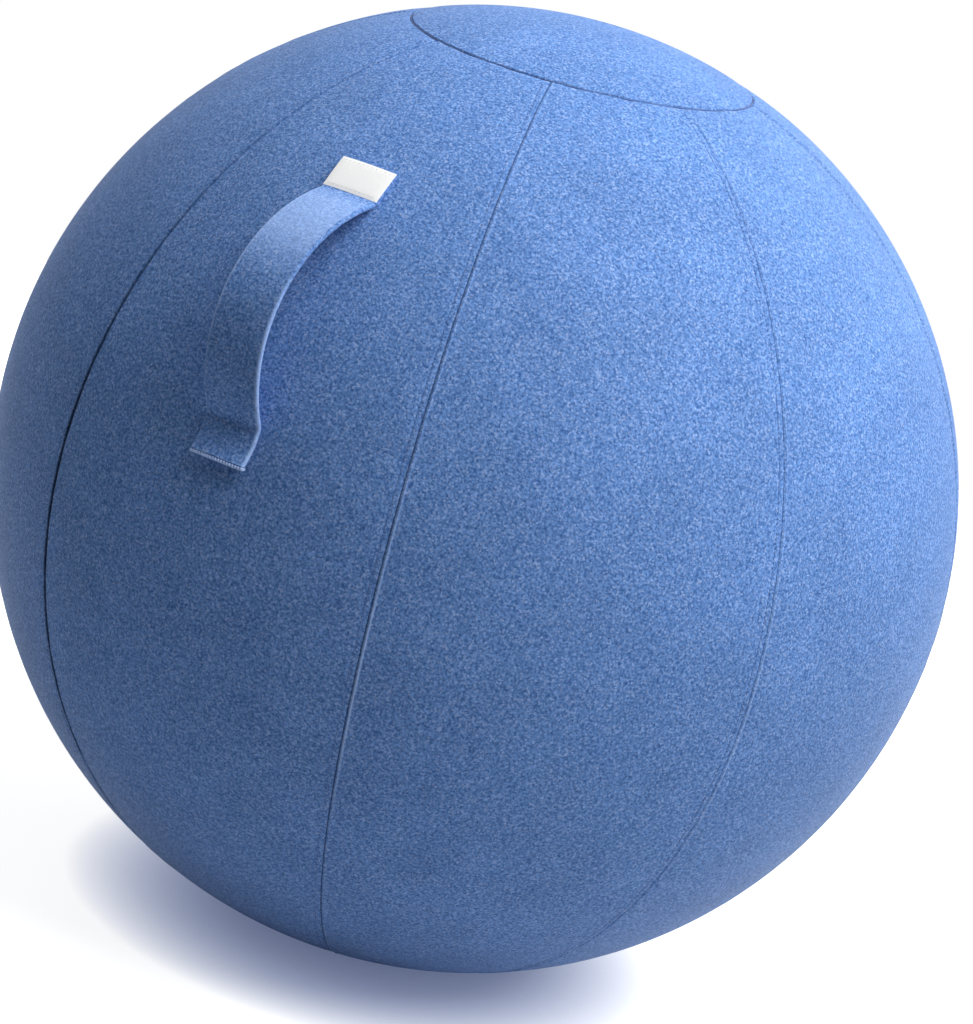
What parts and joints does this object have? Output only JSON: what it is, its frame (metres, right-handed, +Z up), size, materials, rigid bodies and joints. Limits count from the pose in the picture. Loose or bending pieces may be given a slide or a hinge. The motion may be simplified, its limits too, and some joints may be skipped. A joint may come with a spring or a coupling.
{
  "type": "balance ball chair",
  "caption": "Sitting ball: an inflated ball inside a zipped cloth cover of tapered panels, with a round cap on top, a flat foot to stand on and a carrying strap on its side.",
  "frame": {"origin": "centre of the flat patch under the ball, on the floor", "axes": "+Z up through the middle of the cap, -Y towards the carrying strap, +X to the right as seen facing the strap"},
  "size_m": [0.6499, 0.6596, 0.6444],
  "materials": {
    "cover_cloth": "matte",
    "strap_cloth": "matte",
    "label_cloth": "matte",
    "thread": "matte",
    "ball_pvc": "satin",
    "valve_pvc": "satin",
    "zip_tape": "matte",
    "zip_teeth": "satin",
    "zip_metal": "satin"
  },
  "bodies": {
    "cover": {"cover_gore_1": "cover_cloth", "cover_gore_2": "cover_cloth", "cover_gore_3": "cover_cloth", "cover_gore_4": "cover_cloth", "cover_gore_5": "cover_cloth", "cover_gore_6": "cover_cloth", "cover_gore_7": "cover_cloth", "cover_gore_8": "cover_cloth", "top_cap": "cover_cloth", "base_panel": "cover_cloth", "handle_upper_end": "strap_cloth", "handle_lower_end": "strap_cloth", "handle_label": "label_cloth", "gore_stitching": "thread", "cap_thread": "thread", "base_thread": "thread", "label_stitches": "thread", "tab_stitches": "thread", "inner_ball": "ball_pvc", "valve_socket": "valve_pvc", "valve_plug": "valve_pvc", "zip_tape_outer": "zip_tape", "zip_tape_inner": "zip_tape", "zip_teeth_outer": "zip_teeth", "zip_teeth_inner": "zip_teeth", "zip_stops": "zip_metal"},
    "zip_slider": {"zip_slider": "zip_metal"},
    "zip_pull": {"zip_pull": "zip_metal"},
    "handle": {"handle_strap": "strap_cloth"}
  },
  "joints": [
    {"name": "handle_swing", "type": "hinge", "parent": "cover", "child": "handle", "pos_m": [0.00329, -0.24148, 0.53921], "axis": [0.0282, -0.4752, -0.8794], "range_deg": [-35, 35], "stiffness_Nm_per_rad": 0.1},
    {"name": "zip_travel", "type": "hinge", "parent": "cover", "child": "zip_slider", "pos_m": [0, 0, 0.01], "axis": [0, 0, 1], "range_deg": [0, 214]},
    {"name": "pull_flip", "type": "hinge", "parent": "zip_slider", "child": "zip_pull", "pos_m": [0.10348, 0.0543, 0.01358], "axis": [-0.8272, -0.434, -0.3569], "range_deg": [0, 170]}
  ]
}
